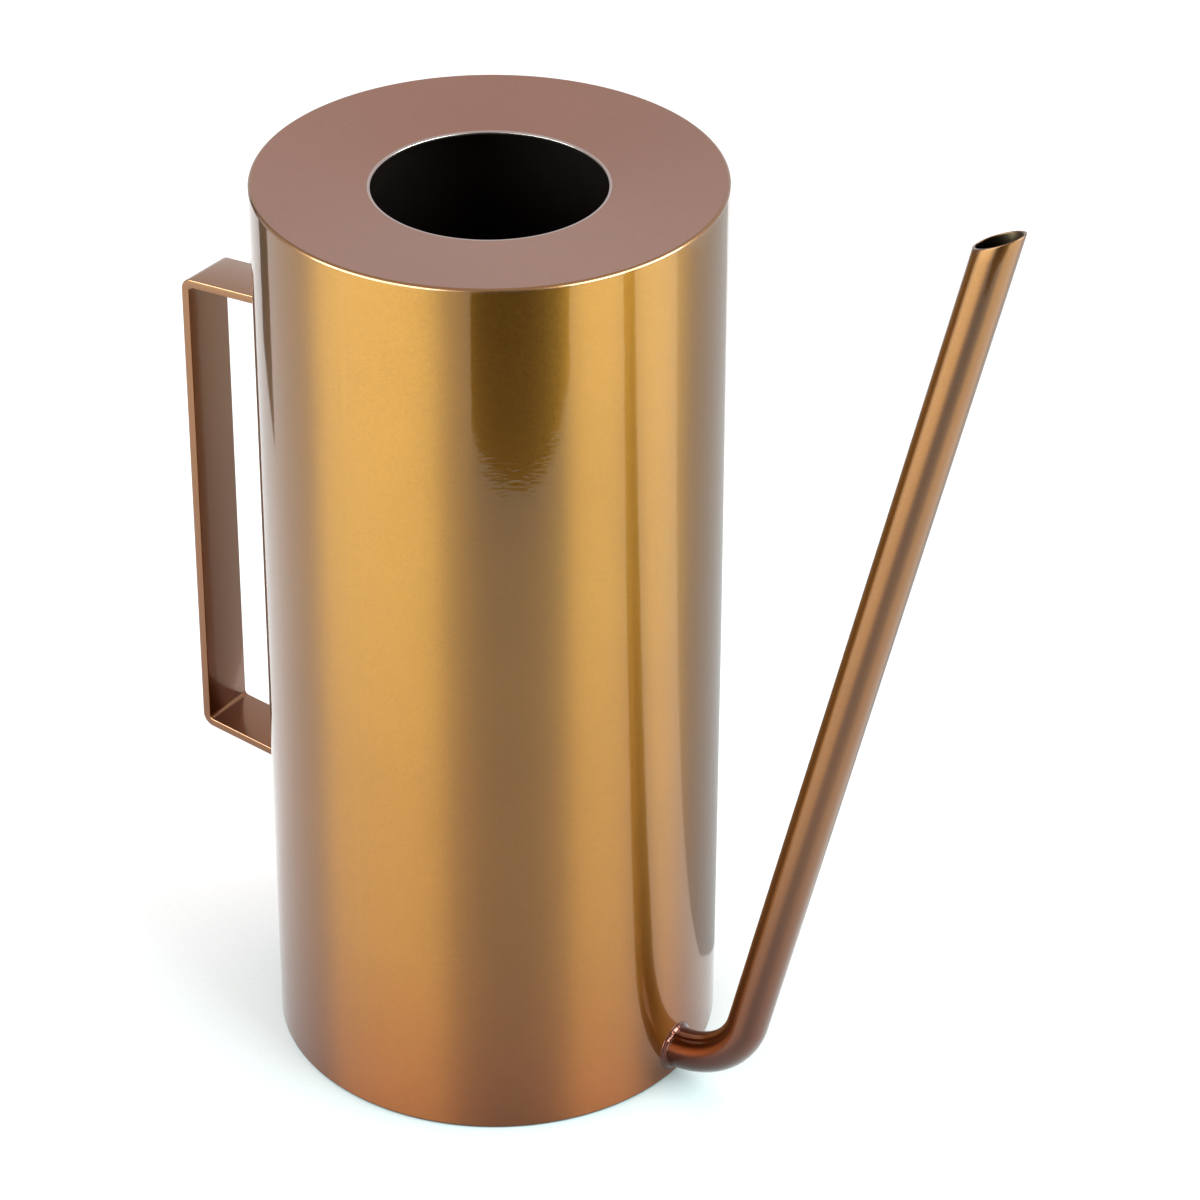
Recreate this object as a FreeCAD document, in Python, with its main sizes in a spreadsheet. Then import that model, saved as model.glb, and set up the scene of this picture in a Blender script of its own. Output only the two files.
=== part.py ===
"""Indoor watering can of lacquered stainless sheet: a straight cylinder, a bent spout and a strap handle.

Frame: millimetres, +Z up, origin at the centre of the ring the can stands on.
The spout leaves the wall low down on the +X side and the handle is on the -X side.
Every sub-part is one piece of sheet, tube or strap, or one weld bead that joins two of them.
"""
import FreeCAD, Part
import Sketcher
import os

CELLS = [
    # the can's body, rolled from sheet
    ("body_diameter", 110.0),
    ("body_height", 231.6),
    ("wall_thick", 0.8),
    ("corner_radius", 0.8),
    ("seam_width", 1.2),
    # the top plate: a shallow dish with a down-turned flange inside the wall
    ("mouth_diameter", 54.5),
    ("dish_depth", 1.9),
    ("plate_thick", 0.8),
    ("flange_height", 7.0),
    ("flange_bend", 1.0),
    ("mouth_edge", 0.36),
    # the base plate: a disc with a down-turned skirt that the can stands on
    ("base_recess", 1.4),
    ("skirt_bend", 0.6),
    # the spout: one thin tube, bent once, with a slanted tip
    ("spout_outer", 10.2),
    ("spout_wall", 0.6),
    ("spout_height", 7.8),
    ("spout_inside", 1.8),
    ("bend_radius", 21.7),
    ("rise_angle", 76.1),
    ("straight_length", 238.2),
    ("tip_angle", 37.9),
    ("tip_spare", 8.0),
    # the handle: flat strap bent twice
    ("strap_width", 14.6),
    ("strap_thick", 2.2),
    ("handle_reach", 88.0),
    ("arm_top", 184.6),
    ("arm_bottom", 50.4),
    ("arm_slope", 4.6),
    ("strap_bend", 3.2),
    ("arm_spare", 5.0),
    # the fillet beads
    ("spout_bead", 1.1),
    ("bead_sink", 0.66),
    ("bead_lip", 0.11),
    ("bead_gap", 0.03),
    ("handle_bead", 1.2),
]

# expressions that several sub-parts share, in terms of the cells
WALL_R = "Dimensions.body_diameter / 2"
INNER_R = "(Dimensions.body_diameter / 2 - Dimensions.wall_thick)"
TOP = "Dimensions.body_height"
CORNER = "Dimensions.corner_radius"

# the rounded corner of the can is drawn as this many narrow flats
CORNER_FLATS = 3
# lengths closer than this, in millimetres, are taken as equal
CLOSE = 0.01
# a cut that removes less than this, in cubic millimetres, has missed
LEAST_CUT = 0.01

doc = FreeCAD.newDocument("watering_can")
PARTS = []


def make_sheet():
    """The driving dimensions, one plain number to a row with its name beside it."""
    sheet = doc.addObject("Spreadsheet::Sheet", "Dimensions")
    for row, (alias, value) in enumerate(CELLS, start=1):
        sheet.set("A%d" % row, alias)
        sheet.set("B%d" % row, str(value))
        sheet.setAlias("B%d" % row, alias)
    doc.recompute()
    return sheet


sheet = make_sheet()


def register(part, label):
    """Give a finished sub-part its label and put it on the list to be written."""
    part.Label = label
    PARTS.append(part)
    return part


def new_body(name):
    """An empty PartDesign body."""
    return doc.addObject("PartDesign::Body", name)


def number(expression):
    """The present value of an expression of cells."""
    value = sheet.evalExpression(expression)
    return float(getattr(value, "Value", value))


def new_sketch(body, name, plane):
    """A sketch on one of the body's own origin planes."""
    sketch = body.newObject("Sketcher::SketchObject", name)
    origin_planes = [item for item in body.Origin.OriginFeatures if item.Role == plane]
    sketch.AttachmentSupport = [(origin_planes[0], "")]
    sketch.MapMode = "FlatFace"
    return sketch


def bind(sketch, kind, geometry, expression):
    """Add a dimension to a sketch and bind it to an expression."""
    index = sketch.addConstraint(Sketcher.Constraint(kind, *geometry, number(expression)))
    sketch.setExpression("Constraints[%d]" % index, expression)


def place_point(sketch, curve, end, across, upward):
    """Fix one end of a curve by its distances from the sketch's origin."""
    bind(sketch, "DistanceX", (-1, 1, curve, end), across)
    bind(sketch, "DistanceY", (-1, 1, curve, end), upward)


def draw_outline(sketch, corners):
    """A closed outline of straight lines, whose corners are pairs of expressions."""
    points = [FreeCAD.Vector(number(across), number(upward), 0) for across, upward in corners]
    count = len(points)
    for index in range(count):
        sketch.addGeometry(Part.LineSegment(points[index], points[(index + 1) % count]))
    for index in range(count):
        following = (index + 1) % count
        sketch.addConstraint(Sketcher.Constraint("Coincident", index, 2, following, 1))
    for index, (across, upward) in enumerate(corners):
        place_point(sketch, index, 1, across, upward)


def draw_circle(sketch, across, upward, radius):
    """A circle whose centre and radius are expressions."""
    centre = FreeCAD.Vector(number(across), number(upward), 0)
    up = FreeCAD.Vector(0, 0, 1)
    index = sketch.addGeometry(Part.Circle(centre, up, number(radius)))
    place_point(sketch, index, 3, across, upward)
    bind(sketch, "Radius", (index,), radius)


def revolve(body, sketch):
    """Turn a profile all the way round the body's Z axis."""
    turned = body.newObject("PartDesign::Revolution", sketch.Name + "_turned")
    turned.Profile = sketch
    turned.ReferenceAxis = (sketch, ["V_Axis"])
    turned.Angle = 360.0
    doc.recompute()
    return turned


def pocket_through(body, sketch, both_ways, reversed_way=False):
    """Cut a sketch's outline through everything and check that material went."""
    before = body.Shape.Volume
    cut = body.newObject("PartDesign::Pocket", sketch.Name + "_cut")
    cut.Profile = sketch
    cut.Type = "ThroughAll"
    cut.Midplane = both_ways
    cut.Reversed = reversed_way
    doc.recompute()
    if body.Shape.Volume > before - LEAST_CUT:
        raise RuntimeError("%s removed nothing" % sketch.Name)
    return cut


def fillet_edges(body, name, radius, wanted):
    """Round the edges of the body's tip for which wanted(edge) is true."""
    base = body.Tip
    edges = base.Shape.Edges
    names = ["Edge%d" % (index + 1) for index, edge in enumerate(edges) if wanted(edge)]
    if not names:
        raise RuntimeError("%s found no edge" % name)
    fillet = body.newObject("PartDesign::Fillet", name)
    fillet.Base = (base, names)
    fillet.setExpression("Radius", radius)
    doc.recompute()
    return fillet


def ring_edge(radius, height):
    """A test for the circular edge round the Z axis with this radius and height."""
    def wanted(edge):
        curve = edge.Curve
        if not isinstance(curve, Part.Circle):
            return False
        same_radius = abs(curve.Radius - radius) < CLOSE
        return same_radius and abs(curve.Center.z - height) < CLOSE
    return wanted


def cross_edge(across, height):
    """A test for the straight edge that runs along Y through this place in the XZ plane."""
    def wanted(edge):
        if not isinstance(edge.Curve, (Part.Line, Part.LineSegment)):
            return False
        middle = edge.CenterOfMass
        along_y = abs(edge.tangentAt(edge.FirstParameter).y) > 0.99
        same_place = abs(middle.x - across) < CLOSE and abs(middle.z - height) < CLOSE
        return along_y and same_place
    return wanted


def make_body_wall():
    """The rolled wall: a plain tube, open along its seam, with a round hole for the spout."""
    body = new_body("body_wall")
    profile = new_sketch(body, "wall_profile", "XZ_Plane")
    high = TOP + " - " + CORNER
    draw_outline(profile, [(INNER_R, CORNER), (WALL_R, CORNER), (WALL_R, high), (INNER_R, high)])
    revolve(body, profile)

    hole = new_sketch(body, "spout_hole", "YZ_Plane")
    draw_circle(hole, "0", "Dimensions.spout_height", "Dimensions.spout_outer / 2")
    pocket_through(body, hole, both_ways=False, reversed_way=True)

    gap = new_sketch(body, "seam_gap", "YZ_Plane")
    half = "Dimensions.seam_width / 2"
    draw_outline(gap, [("-" + half, "0"), (half, "0"), (half, TOP), ("-" + half, TOP)])
    pocket_through(body, gap, both_ways=False, reversed_way=False)
    return register(body, "body_wall")


def make_cylinder(name, radius, low, height):
    """A Part cylinder on the Z axis."""
    cylinder = doc.addObject("Part::Cylinder", name)
    cylinder.setExpression("Radius", radius)
    cylinder.setExpression("Height", height)
    cylinder.setExpression("Placement.Base.z", low)
    return cylinder


def make_cut(name, base, tool):
    """One Part solid less another."""
    cut = doc.addObject("Part::Cut", name)
    cut.Base = base
    cut.Tool = tool
    doc.recompute()
    return cut


def make_seam_weld():
    """The butt weld that closes the rolled wall, flush inside and out, behind the handle."""
    length = TOP + " - 2 * " + CORNER
    outer = make_cylinder("seam_outer", WALL_R, CORNER, length)
    inner = make_cylinder("seam_inner", INNER_R, CORNER, length)
    ring = make_cut("seam_ring", outer, inner)
    strip = doc.addObject("Part::Box", "seam_strip")
    strip.setExpression("Length", WALL_R)
    strip.setExpression("Width", "Dimensions.seam_width")
    strip.setExpression("Height", TOP)
    strip.setExpression("Placement.Base.x", "-" + WALL_R)
    strip.setExpression("Placement.Base.y", "-Dimensions.seam_width / 2")
    weld = doc.addObject("Part::MultiCommon", "seam_weld")
    weld.Shapes = [ring, strip]
    return register(weld, "seam_weld")


def make_top_plate():
    """The top: a pressed sheet that dips towards the round mouth, with a flange inside the wall."""
    body = new_body("top_plate")
    profile = new_sketch(body, "top_profile", "XZ_Plane")
    mouth = "Dimensions.mouth_diameter / 2"
    thick = "Dimensions.plate_thick"
    inside = "(" + INNER_R + " - " + thick + ")"
    dip = TOP + " - Dimensions.dish_depth"
    foot = TOP + " - Dimensions.flange_height"
    draw_outline(profile, [
        (mouth, dip),
        (INNER_R, TOP),
        (INNER_R, foot),
        (inside, foot),
        (inside, TOP + " - " + thick),
        (mouth, dip + " - " + thick),
    ])
    revolve(body, profile)
    flange_inside = number(inside)
    under_top = number(TOP + " - " + thick)
    fillet_edges(body, "flange_inner_bend", "Dimensions.flange_bend",
                 ring_edge(flange_inside, under_top))
    mouth_radius = number(mouth)
    fillet_edges(body, "mouth_upper_edge", "Dimensions.mouth_edge",
                 ring_edge(mouth_radius, number(dip)))
    fillet_edges(body, "mouth_lower_edge", "Dimensions.mouth_edge",
                 ring_edge(mouth_radius, number(dip + " - " + thick)))
    return register(body, "top_plate")


def make_base_plate():
    """The base: a disc a little above the table, with a skirt down to it inside the wall."""
    body = new_body("base_plate")
    profile = new_sketch(body, "base_profile", "XZ_Plane")
    thick = "Dimensions.plate_thick"
    inside = "(" + INNER_R + " - " + thick + ")"
    under = "Dimensions.base_recess"
    over = under + " + " + thick
    draw_outline(profile, [
        ("0", under),
        (inside, under),
        (inside, "0"),
        (INNER_R, "0"),
        (INNER_R, over),
        ("0", over),
    ])
    revolve(body, profile)
    fillet_edges(body, "base_skirt_bend", "Dimensions.skirt_bend",
                 ring_edge(number(INNER_R), number(over)))
    return register(body, "base_plate")


def make_corner_weld(label, centre_height, side):
    """A ring that closes the corner between the wall's end and a plate.

    Its section is a quarter round drawn as narrow flats.
    The side is "+" where the round rises from its centre and "-" where it falls.
    """
    body = new_body(label)
    profile = new_sketch(body, label + "_profile", "XZ_Plane")
    outline = [(INNER_R, centre_height)]
    for step in range(CORNER_FLATS + 1):
        turn = 90.0 * step / CORNER_FLATS
        across = "%s + %s * cos(%.1f deg)" % (INNER_R, CORNER, turn)
        upward = "%s %s %s * sin(%.1f deg)" % (centre_height, side, CORNER, turn)
        outline.append((across, upward))
    draw_outline(profile, outline)
    revolve(body, profile)
    return register(body, label)


def make_spout_tube():
    """The spout: a short straight end through the wall, one bend, a long rise and a slanted tip."""
    body = new_body("spout_tube")
    route = new_sketch(body, "spout_route", "XZ_Plane")
    start_x = "(" + WALL_R + " - Dimensions.spout_inside)"
    height = "Dimensions.spout_height"
    turn = "Dimensions.rise_angle"
    bend = "Dimensions.bend_radius"
    rise = number(turn)
    sketch_normal = FreeCAD.Vector(0, 0, 1)
    wall = FreeCAD.Vector(number(WALL_R), number(height), 0)
    inner_end = FreeCAD.Vector(number(start_x), number(height), 0)
    bend_centre = wall + FreeCAD.Vector(0, number(bend), 0)
    turned = FreeCAD.Rotation(sketch_normal, rise)
    bend_end = bend_centre + turned.multVec(wall - bend_centre)
    run = number("Dimensions.straight_length + Dimensions.tip_spare")
    far_end = bend_end + turned.multVec(FreeCAD.Vector(run, 0, 0))
    half_turned = FreeCAD.Rotation(sketch_normal, rise / 2)
    bend_middle = bend_centre + half_turned.multVec(wall - bend_centre)
    route.addGeometry(Part.LineSegment(inner_end, wall))
    route.addGeometry(Part.Arc(wall, bend_middle, bend_end))
    route.addGeometry(Part.LineSegment(bend_end, far_end))
    route.addConstraint(Sketcher.Constraint("Tangent", 0, 2, 1, 1))
    route.addConstraint(Sketcher.Constraint("Tangent", 1, 2, 2, 1))
    route.addConstraint(Sketcher.Constraint("Horizontal", 0))
    place_point(route, 0, 1, start_x, height)
    bind(route, "DistanceX", (0, 1, 0, 2), "Dimensions.spout_inside")
    bind(route, "Radius", (1,), bend)
    angle = route.addConstraint(Sketcher.Constraint("Angle", 2, turned.Angle))
    route.setExpression("Constraints[%d]" % angle, turn + " * 1 deg")
    bind(route, "Distance", (2,), "Dimensions.straight_length + Dimensions.tip_spare")

    section = new_sketch(body, "spout_section", "YZ_Plane")
    section.setExpression("AttachmentOffset.Base.z", start_x)
    draw_circle(section, "0", height, "Dimensions.spout_outer / 2")
    draw_circle(section, "0", height, "Dimensions.spout_outer / 2 - Dimensions.spout_wall")
    doc.recompute()

    pipe = body.newObject("PartDesign::AdditivePipe", "spout_pipe")
    pipe.Profile = section
    pipe.Spine = route
    doc.recompute()

    # the tip's face passes through the tube's centre line and leans back towards the can
    slant = "(" + turn + " - 90 + Dimensions.tip_angle)"
    rise_sine = "sin(" + turn + " * 1 deg)"
    rise_cosine = "cos(" + turn + " * 1 deg)"
    tip_x = "(%s + %s * %s + Dimensions.straight_length * %s)" % (
        WALL_R, bend, rise_sine, rise_cosine)
    tip_z = "(%s + %s * (1 - %s) + Dimensions.straight_length * %s)" % (
        height, bend, rise_cosine, rise_sine)
    along_x = "Dimensions.spout_outer * cos(" + slant + " * 1 deg)"
    along_z = "Dimensions.spout_outer * sin(" + slant + " * 1 deg)"
    # high enough to take in all of the spare length
    above = " + 3 * Dimensions.tip_spare"
    trim = new_sketch(body, "spout_tip_trim", "XZ_Plane")
    draw_outline(trim, [
        (tip_x + " - " + along_x, tip_z + " - " + along_z),
        (tip_x + " + " + along_x, tip_z + " + " + along_z),
        (tip_x + " + " + along_x, tip_z + " + " + along_z + above),
        (tip_x + " - " + along_x, tip_z + " - " + along_z + above),
    ])
    pocket_through(body, trim, both_ways=True)
    return register(body, "spout_tube")


def make_spout_weld():
    """The fillet bead round the spout where it leaves the wall.

    Its bore is a hair wider than the tube, because the tube starts to bend inside the bead.
    """
    leg = "Dimensions.spout_bead"
    outer = "Dimensions.spout_outer / 2"
    along_x = FreeCAD.Rotation(FreeCAD.Vector(0, 1, 0), 90)
    blank = doc.addObject("Part::Cone", "spout_bead_blank")
    blank.Placement = FreeCAD.Placement(FreeCAD.Vector(), along_x)
    blank.setExpression("Radius1", outer + " + " + leg + " + Dimensions.bead_sink")
    blank.setExpression("Radius2", outer + " + Dimensions.bead_lip")
    blank.setExpression("Height", leg + " + Dimensions.bead_sink")
    blank.setExpression("Placement.Base.x", WALL_R + " - Dimensions.bead_sink")
    blank.setExpression("Placement.Base.z", "Dimensions.spout_height")
    core = doc.addObject("Part::Cylinder", "spout_bead_core")
    core.Placement = FreeCAD.Placement(FreeCAD.Vector(), along_x)
    core.setExpression("Radius", outer + " + Dimensions.bead_gap")
    # the core is longer than the blank at both ends
    core.setExpression("Height", "4 * " + leg)
    core.setExpression("Placement.Base.x", WALL_R + " - 2 * " + leg)
    core.setExpression("Placement.Base.z", "Dimensions.spout_height")
    can = make_cylinder("spout_bead_can", WALL_R, "0", TOP)
    doc.recompute()
    hollow = make_cut("spout_bead_ring", blank, core)
    weld = make_cut("spout_weld", hollow, can)
    return register(weld, "spout_weld")


def arm_height(out, upper, inner_face):
    """An expression for the height of one face of a handle arm at a distance out from the axis."""
    slope = "tan(Dimensions.arm_slope * 1 deg)"
    sheet_rise = "Dimensions.strap_thick / cos(Dimensions.arm_slope * 1 deg)"
    fall = "(" + out + " - " + WALL_R + ") * " + slope
    if upper:
        face = "Dimensions.arm_top - " + fall
        return face + " - " + sheet_rise if inner_face else face
    face = "Dimensions.arm_bottom + " + fall
    return face + " + " + sheet_rise if inner_face else face


def make_handle_strap():
    """The handle: flat strap bent into a U, its two ends shaped to the round wall."""
    body = new_body("handle_strap")
    outline = new_sketch(body, "strap_outline", "XZ_Plane")
    near = "(" + WALL_R + " - Dimensions.arm_spare)"
    reach = "Dimensions.handle_reach"
    grip = "(Dimensions.handle_reach - Dimensions.strap_thick)"
    corners = [
        (near, arm_height(near, True, False)),
        (reach, arm_height(reach, True, False)),
        (reach, arm_height(reach, False, False)),
        (near, arm_height(near, False, False)),
        (near, arm_height(near, False, True)),
        (grip, arm_height(grip, False, True)),
        (grip, arm_height(grip, True, True)),
        (near, arm_height(near, True, True)),
    ]
    draw_outline(outline, [("-" + across, upward) for across, upward in corners])
    strap = body.newObject("PartDesign::Pad", "strap_pad")
    strap.Profile = outline
    strap.Midplane = True
    strap.setExpression("Length", "Dimensions.strap_width")
    doc.recompute()

    outer_bends = [cross_edge(-number(reach), number(arm_height(reach, upper, False)))
                   for upper in (True, False)]
    inner_bends = [cross_edge(-number(grip), number(arm_height(grip, upper, True)))
                   for upper in (True, False)]
    fillet_edges(body, "strap_outer_bends", "Dimensions.strap_bend",
                 lambda edge: any(test(edge) for test in outer_bends))
    fillet_edges(body, "strap_inner_bends", "Dimensions.strap_bend - Dimensions.strap_thick",
                 lambda edge: any(test(edge) for test in inner_bends))

    can = new_sketch(body, "strap_end_shape", "XY_Plane")
    draw_circle(can, "0", "0", WALL_R)
    pocket_through(body, can, both_ways=True)
    return register(body, "handle_strap")


def make_handle_weld(label, upper, strap, can):
    """The fillet bead all round one end of the handle strap.

    The blank is two legs deep and starts one leg inside the wall, which cuts that half away.
    """
    leg = "Dimensions.handle_bead"
    half_width = "Dimensions.strap_width / 2"
    half_thick = "Dimensions.strap_thick / 2"
    blank = doc.addObject("Part::Wedge", label + "_blank")
    # the wedge's own Y axis runs outwards along the arm, X is across the strap, Z its thickness
    blank.setExpression("Ymin", "0")
    blank.setExpression("Ymax", "2 * " + leg)
    blank.setExpression("Xmin", "-(" + half_width + " + 2 * " + leg + ")")
    blank.setExpression("Xmax", half_width + " + 2 * " + leg)
    blank.setExpression("Zmin", "-(" + half_thick + " + 2 * " + leg + ")")
    blank.setExpression("Zmax", half_thick + " + 2 * " + leg)
    blank.setExpression("X2min", "-" + half_width)
    blank.setExpression("X2max", half_width)
    blank.setExpression("Z2min", "-" + half_thick)
    blank.setExpression("Z2max", half_thick)
    slope = number("Dimensions.arm_slope")
    outwards = FreeCAD.Rotation(FreeCAD.Vector(0, 0, 1), 90)
    tilt = FreeCAD.Rotation(FreeCAD.Vector(0, 1, 0), -slope if upper else slope)
    blank.Placement = FreeCAD.Placement(FreeCAD.Vector(), tilt.multiply(outwards))
    middle = "(Dimensions.arm_top - " + half_thick + ")"
    if not upper:
        middle = "(Dimensions.arm_bottom + " + half_thick + ")"
    blank.setExpression("Placement.Base.x", "-" + WALL_R + " + " + leg)
    blank.setExpression("Placement.Base.z", middle)
    doc.recompute()
    outside = make_cut(label + "_outside", blank, can)
    weld = make_cut(label, outside, strap)
    return register(weld, label)


def main():
    make_body_wall()
    make_seam_weld()
    make_top_plate()
    make_corner_weld("rim_weld", TOP + " - " + CORNER, "+")
    make_base_plate()
    make_corner_weld("base_weld", CORNER, "-")
    make_spout_tube()
    make_spout_weld()
    strap = make_handle_strap()
    can = make_cylinder("handle_bead_can", WALL_R, "0", TOP)
    make_handle_weld("handle_weld_upper", True, strap, can)
    make_handle_weld("handle_weld_lower", False, strap, can)
    doc.recompute()

    for item in doc.Objects:
        if "Invalid" in item.State or "Error" in item.State:
            raise RuntimeError("%s failed: %s" % (item.Name, item.State))
    for part in PARTS:
        if part.Shape.isNull() or not part.Shape.isValid():
            raise RuntimeError("%s has no valid shape" % part.Label)

    os.makedirs("parts", exist_ok=True)
    for part in PARTS:
        box = part.Shape.BoundBox
        print("%-18s solids %d volume %9.1f  x %.2f..%.2f  y %.2f..%.2f  z %.2f..%.2f" % (
            part.Label, len(part.Shape.Solids), part.Shape.Volume,
            box.XMin, box.XMax, box.YMin, box.YMax, box.ZMin, box.ZMax))
        part.Shape.exportStep("parts/%s.step" % part.Label)


main()
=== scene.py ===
"""The looks of an indoor watering can of lacquered steel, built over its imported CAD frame.

Row frame: metres, +Z up, the can stands on z = 0, spout towards +X, handle towards -X.
"""
# %% [markdown]
# ## The frame
# The frame is the CAD part: eleven exact solids that say where everything is and how big it is.
# Blender adds the looks on top, so every measure of the can is either read from the frame or
# written once, in millimetres, where it is first needed.

# %% The frame and its box
import math

import bmesh
import bpy
import numpy as np
from mathutils import Matrix, Vector


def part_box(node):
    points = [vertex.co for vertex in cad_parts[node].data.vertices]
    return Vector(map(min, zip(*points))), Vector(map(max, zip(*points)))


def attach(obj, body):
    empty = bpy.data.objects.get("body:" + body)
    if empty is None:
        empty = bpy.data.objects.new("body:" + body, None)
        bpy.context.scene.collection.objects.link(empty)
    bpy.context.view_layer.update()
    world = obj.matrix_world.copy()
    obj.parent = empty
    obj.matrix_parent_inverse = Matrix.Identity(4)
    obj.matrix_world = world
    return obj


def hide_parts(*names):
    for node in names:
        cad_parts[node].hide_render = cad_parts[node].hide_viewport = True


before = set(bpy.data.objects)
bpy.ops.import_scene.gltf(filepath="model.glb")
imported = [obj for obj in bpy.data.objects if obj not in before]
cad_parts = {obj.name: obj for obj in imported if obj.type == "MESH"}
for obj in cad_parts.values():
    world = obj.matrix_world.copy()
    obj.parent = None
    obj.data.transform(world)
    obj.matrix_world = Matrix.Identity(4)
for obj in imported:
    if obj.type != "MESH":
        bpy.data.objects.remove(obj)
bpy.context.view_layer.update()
MM = 0.001

# %% Measures read from the frame
wall_low, wall_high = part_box("body_wall")
rim_low, rim_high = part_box("rim_weld")
plate_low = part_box("top_plate")[0]
strap_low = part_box("handle_strap")[0]
WALL_RADIUS = wall_high.x
CORNER = rim_high.z - rim_low.z
INNER_RADIUS = WALL_RADIUS - CORNER
CAN_HEIGHT = rim_high.z
print("can radius %.1f mm, height %.1f mm" % (WALL_RADIUS / MM, CAN_HEIGHT / MM))

# %% [markdown]
# ## Surfaces from numpy
# Each piece of this can is sheet, tube or strap, and each of those is a section carried along
# something: round the can's axis, or along a bent path. So one function is enough to make the
# mesh. It takes a grid of points, rows by columns, and joins neighbours with four-sided faces.
# It could be done with the Screw and Curve tools too, but a grid keeps the direction of the
# metal's grain in its UV map, and that is what makes brushed sheet shine in bands.

# %% One mesh from one grid of points
SHARP_FROM = math.radians(32)


def surface(name, grid, wrap_rows, wrap_columns, caps=(), flip=False, join_close=0.0):
    """A mesh over a grid of points, shape (rows, columns, 3), in metres.

    Each face joins point (i, j) with its neighbours (i, j+1), (i+1, j+1) and (i+1, j).
    A wrapped direction also joins its last line of points to its first. The UV map holds the
    lengths walked along the columns (u) and along the rows (v), in metres, so that the first
    UV direction follows the columns. caps lists rows that are closed with one flat face.
    Points nearer than join_close become one, which closes a pole.
    """
    rows, columns = grid.shape[:2]
    row_count = rows if wrap_rows else rows - 1
    column_count = columns if wrap_columns else columns - 1
    i, j = np.meshgrid(np.arange(row_count), np.arange(column_count), indexing="ij")
    i_next, j_next = i + 1, j + 1
    corners_i = np.stack([i, i, i_next, i_next], -1).reshape(-1, 4)
    corners_j = np.stack([j, j_next, j_next, j], -1).reshape(-1, 4)
    if flip:
        corners_i, corners_j = corners_i[:, ::-1], corners_j[:, ::-1]
    faces = (corners_i % rows) * columns + corners_j % columns

    closed = np.concatenate([grid, grid[:1]], 0)
    closed = np.concatenate([closed, closed[:, :1]], 1)
    step_v = np.linalg.norm(np.diff(closed, axis=0), axis=2).mean(1)
    step_u = np.linalg.norm(np.diff(closed, axis=1), axis=2).mean(0)
    length_v = np.concatenate([[0], np.cumsum(step_v)])
    length_u = np.concatenate([[0], np.cumsum(step_u)])
    uv = np.stack([length_u[corners_j], length_v[corners_i]], -1).reshape(-1, 2)

    face_lists = faces.tolist()
    for row, forward in caps:
        ring = [row * columns + k for k in range(columns)]
        face_lists.append(ring if forward else ring[::-1])
        uv = np.concatenate([uv, np.zeros((columns, 2))])
    mesh = bpy.data.meshes.new(name)
    mesh.from_pydata(grid.reshape(-1, 3), [], face_lists)
    layer = mesh.uv_layers.new(name="grain")
    layer.data.foreach_set("uv", uv.astype(np.float32).ravel())
    if join_close:
        merged = bmesh.new()
        merged.from_mesh(mesh)
        bmesh.ops.remove_doubles(merged, verts=merged.verts, dist=join_close)
        loose = [edge for edge in merged.edges if not edge.link_faces]
        bmesh.ops.delete(merged, geom=loose, context="EDGES")
        merged.to_mesh(mesh)
        merged.free()
    mesh.polygons.foreach_set("use_smooth", np.ones(len(mesh.polygons), bool))
    mesh.update()
    mesh.set_sharp_from_angle(angle=SHARP_FROM)
    piece = bpy.data.objects.new(name, mesh)
    bpy.context.scene.collection.objects.link(piece)
    print("%-20s %6d faces" % (name, len(mesh.polygons)))
    return piece


# %% Profiles turned round the can's axis
def turned(name, profile, angles, whole_turn=True, join_close=0.0):
    """A closed profile of (radius, height) points turned round the Z axis.

    The point for angle a and profile point (r, z) is (r cos a, r sin a, z). The profile runs
    anticlockwise, so that the faces point outwards. A part turn gets a flat face at each end.
    """
    r, z = np.asarray(profile).T
    a = angles[:, None]
    grid = np.stack([np.cos(a) * r, np.sin(a) * r, np.ones_like(a) * z], -1)
    ends = [] if whole_turn else [(0, True), (len(angles) - 1, False)]
    return surface(name, grid, whole_turn, True, ends, True, join_close)


def arc(centre, radius, start, stop, count):
    """Points on a circle's arc: centre + radius (cos t, sin t), t from start to stop degrees."""
    t = np.radians(np.linspace(start, stop, count))
    return [(centre[0] + radius * math.cos(k), centre[1] + radius * math.sin(k)) for k in t]


def run(first, last, count):
    """Points evenly along a straight line, without its last one."""
    steps = np.linspace(0, 1, count, endpoint=False)[:, None]
    return [tuple(p) for p in np.asarray(first) + (np.asarray(last) - np.asarray(first)) * steps]


TURN_STEPS = 256
ROUND = np.linspace(0, 2 * math.pi, TURN_STEPS, endpoint=False)

# %% [markdown]
# ## The can's wall and its welded corners
# The wall is one rolled sheet with a dressed butt weld behind the handle. Its ends are welded to
# the top and base plates and ground to a small round, so there is no lip to be seen, only a
# quarter circle that catches one thin light line. The grain runs round the can, so the first
# UV direction goes up the wall, the way in which light spreads across such grain.

# %% The wall, its seam and the two corner rounds
SEAM_HALF = 0.6 * MM
SEAM_STEPS = 5
WALL_STEPS = 48
ROUND_STEPS = 14
seam_angle = math.asin(SEAM_HALF / WALL_RADIUS)
wall_profile = (
    run((WALL_RADIUS, wall_low.z), (WALL_RADIUS, wall_high.z), WALL_STEPS)
    + run((WALL_RADIUS, wall_high.z), (INNER_RADIUS, wall_high.z), 1)
    + run((INNER_RADIUS, wall_high.z), (INNER_RADIUS, wall_low.z), WALL_STEPS)
    + run((INNER_RADIUS, wall_low.z), (WALL_RADIUS, wall_low.z), 1)
)
around = np.linspace(-math.pi + seam_angle, math.pi - seam_angle, TURN_STEPS + 1)
can_wall = turned("can_wall", wall_profile, around, whole_turn=False)

seam_around = np.linspace(math.pi - seam_angle, math.pi + seam_angle, SEAM_STEPS)
can_seam = turned("can_seam", wall_profile, seam_around, whole_turn=False)

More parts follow.
